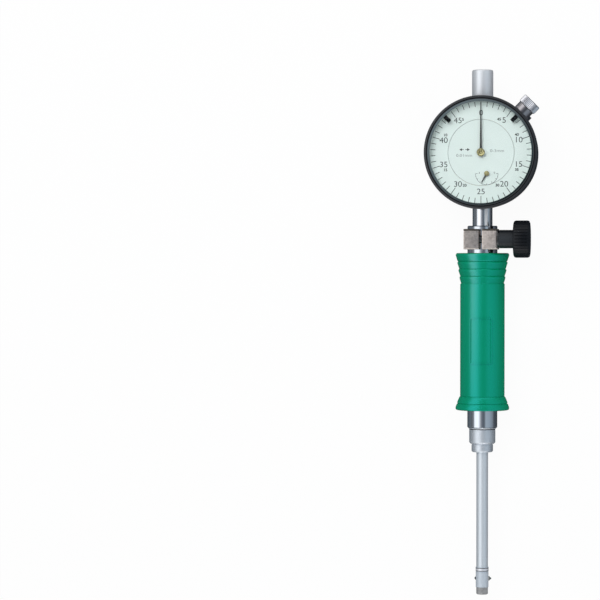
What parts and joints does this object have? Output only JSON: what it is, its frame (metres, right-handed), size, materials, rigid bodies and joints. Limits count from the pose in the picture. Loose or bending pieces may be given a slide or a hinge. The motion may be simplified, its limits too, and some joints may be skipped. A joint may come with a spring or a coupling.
{
  "type": "dial bore gauge",
  "caption": "Small-bore gauge: a dial indicator clamped in a gripped handle tube, with a slender probe whose side contact moves the pointer through a push rod and gear train.",
  "frame": {"origin": "centre of the indicator's back cover face, on the surface that the gauge lies on", "axes": "+Y along the gauge axis from the probe towards the cap, +Z out of the dial, +X to the dial's right"},
  "size_m": [0.0454, 0.2104, 0.0268],
  "materials": {
    "chromed_steel": "polished chrome plating",
    "satin_steel": "satin turned steel",
    "spring_steel": "bright spring wire",
    "nickel_plate": "bead-blasted nickel plating",
    "hard_metal": "ground hard metal",
    "case_paint": "satin black",
    "grip_plastic": "moulded green",
    "black_plastic": "moulded black",
    "glass": "clear",
    "dial_lacquer": "printed dial lacquer",
    "pointer_lacquer": "black lacquer",
    "brass": "turned brass"
  },
  "bodies": {
    "handle": {"handle_tube": "chromed_steel", "grip": "grip_plastic", "reducing_adapter": "satin_steel", "probe_tube": "satin_steel", "probe_head": "satin_steel", "end_cap": "hard_metal", "anvil": "satin_steel", "anvil_tip": "hard_metal", "anvil_lock_screw": "satin_steel", "rod_guide_top": "brass", "return_spring": "spring_steel"},
    "push_rod_assembly": {"push_rod": "satin_steel", "rod_button": "satin_steel", "rod_collar": "satin_steel"},
    "contact": {"contact_plunger": "satin_steel", "contact_ball": "hard_metal"},
    "clamp": {"clamp_ring": "nickel_plate"},
    "washer": {"clamp_washer": "satin_steel"},
    "thumb_screw": {"thumb_knob": "black_plastic", "clamp_stud": "satin_steel"},
    "indicator": {"indicator_case": "case_paint", "back_cover": "case_paint", "back_cover_screws": "satin_steel", "stem": "chromed_steel", "spindle_cap": "chromed_steel", "spindle_bush_upper": "brass", "spindle_bush_lower": "brass", "bridge_plate": "brass", "front_plate": "brass", "plate_pillars": "brass", "plate_screws": "satin_steel", "rear_bracket": "brass", "guide_rail": "brass", "spring_posts": "brass", "spindle_spring": "spring_steel", "hairspring": "spring_steel", "snap_ring": "satin_steel", "dial_centre": "dial_lacquer", "lock_bracket": "satin_steel", "bracket_screw": "satin_steel"},
    "bezel_assembly": {"bezel": "case_paint", "crystal": "glass", "dial_seat_ring": "black_plastic", "scale_ring": "dial_lacquer"},
    "left_marker": {"limit_marker_left": "black_plastic"},
    "right_marker": {"limit_marker_right": "black_plastic"},
    "shoe": {"lock_shoe": "brass"},
    "lock": {"lock_screw": "satin_steel"},
    "spindle_assembly": {"spindle": "satin_steel", "spindle_guide_pin": "satin_steel", "contact_point": "satin_steel"},
    "rack_arbor_assembly": {"rack_arbor": "satin_steel", "rack_gear": "brass", "counter_hand": "pointer_lacquer"},
    "middle_arbor_assembly": {"middle_arbor": "satin_steel", "middle_gear": "brass"},
    "centre_arbor_assembly": {"centre_arbor": "satin_steel", "main_pointer": "pointer_lacquer"},
    "take_up_assembly": {"take_up_arbor": "satin_steel", "take_up_gear": "brass"}
  },
  "joints": [
    {"name": "clamp_swivel", "type": "hinge", "parent": "handle", "child": "clamp", "pos_m": [0, -0.0345, 0.01075], "axis": [0, 1, 0], "continuous": true},
    {"name": "indicator_slide", "type": "slide", "parent": "clamp", "child": "indicator", "axis": [0, 1, 0], "range_m": [0, 0.012]},
    {"name": "clamp_washer_slide", "type": "slide", "parent": "clamp", "child": "washer", "axis": [1, 0, 0], "range_m": [0, 0.0014]},
    {"name": "thumb_screw_turn", "type": "hinge", "parent": "washer", "child": "thumb_screw", "pos_m": [0, -0.0345, 0.01945], "axis": [1, 0, 0], "range_deg": [0, 720]},
    {"name": "bezel_turn", "type": "hinge", "parent": "indicator", "child": "bezel_assembly", "pos_m": [0, 0, 0.01075], "axis": [0, 0, 1], "continuous": true},
    {"name": "limit_marker_left_turn", "type": "hinge", "parent": "bezel_assembly", "child": "left_marker", "pos_m": [0, 0, 0.01075], "axis": [0, 0, 1], "range_deg": [-35, 120]},
    {"name": "limit_marker_right_turn", "type": "hinge", "parent": "bezel_assembly", "child": "right_marker", "pos_m": [0, 0, 0.01075], "axis": [0, 0, 1], "range_deg": [-120, 35]},
    {"name": "lock_shoe_slide", "type": "slide", "parent": "indicator", "child": "shoe", "axis": [0.7071, 0.7071, 0], "range_m": [0, 0.0008]},
    {"name": "lock_screw_turn", "type": "hinge", "parent": "shoe", "child": "lock", "pos_m": [0.015, 0.015, 0.0167], "axis": [0.7071, 0.7071, 0], "range_deg": [0, 720]},
    {"name": "pointer_turn", "type": "hinge", "parent": "indicator", "child": "centre_arbor_assembly", "pos_m": [0, 0, 0.01075], "axis": [0, 0, 1], "range_deg": [-360, 0]},
    {"name": "middle_arbor_turn", "type": "hinge", "parent": "indicator", "child": "middle_arbor_assembly", "pos_m": [0.00574, -0.00174, 0.01075], "axis": [0, 0, 1], "range_deg": [0, 120]},
    {"name": "counter_turn", "type": "hinge", "parent": "indicator", "child": "rack_arbor_assembly", "pos_m": [0.0023, -0.0084, 0.01075], "axis": [0, 0, 1], "range_deg": [-30, 0]},
    {"name": "take_up_turn", "type": "hinge", "parent": "indicator", "child": "take_up_assembly", "pos_m": [-0.00705, 0.00257, 0.01075], "axis": [0, 0, 1], "range_deg": [0, 90], "deforming": ["hairspring"]},
    {"name": "spindle_slide", "type": "slide", "parent": "indicator", "child": "spindle_assembly", "axis": [0, 1, 0], "range_m": [0, 0.0005], "deforming": ["spindle_spring"]},
    {"name": "push_rod_slide", "type": "slide", "parent": "handle", "child": "push_rod_assembly", "axis": [0, 1, 0], "range_m": [0, 0.0005], "stiffness_N_per_m": 200, "springref_m": -0.004, "deforming": ["return_spring"]},
    {"name": "contact_slide", "type": "slide", "parent": "handle", "child": "contact", "axis": [1, 0, 0], "range_m": [0, 0.0005]}
  ],
  "couplings": [
    {"joint": "thumb_screw_turn", "follows": "clamp_washer_slide", "rad_per_m": 8976},
    {"joint": "lock_screw_turn", "follows": "lock_shoe_slide", "rad_per_m": 15708},
    {"joint": "pointer_turn", "follows": "spindle_slide", "rad_per_m": -12566},
    {"joint": "middle_arbor_turn", "follows": "spindle_slide", "rad_per_m": 4188.8},
    {"joint": "counter_turn", "follows": "spindle_slide", "rad_per_m": -1047.2},
    {"joint": "take_up_turn", "follows": "spindle_slide", "rad_per_m": 3141.6},
    {"joint": "push_rod_slide", "follows": "spindle_slide", "ratio": 1},
    {"joint": "contact_slide", "follows": "spindle_slide", "ratio": 1}
  ]
}
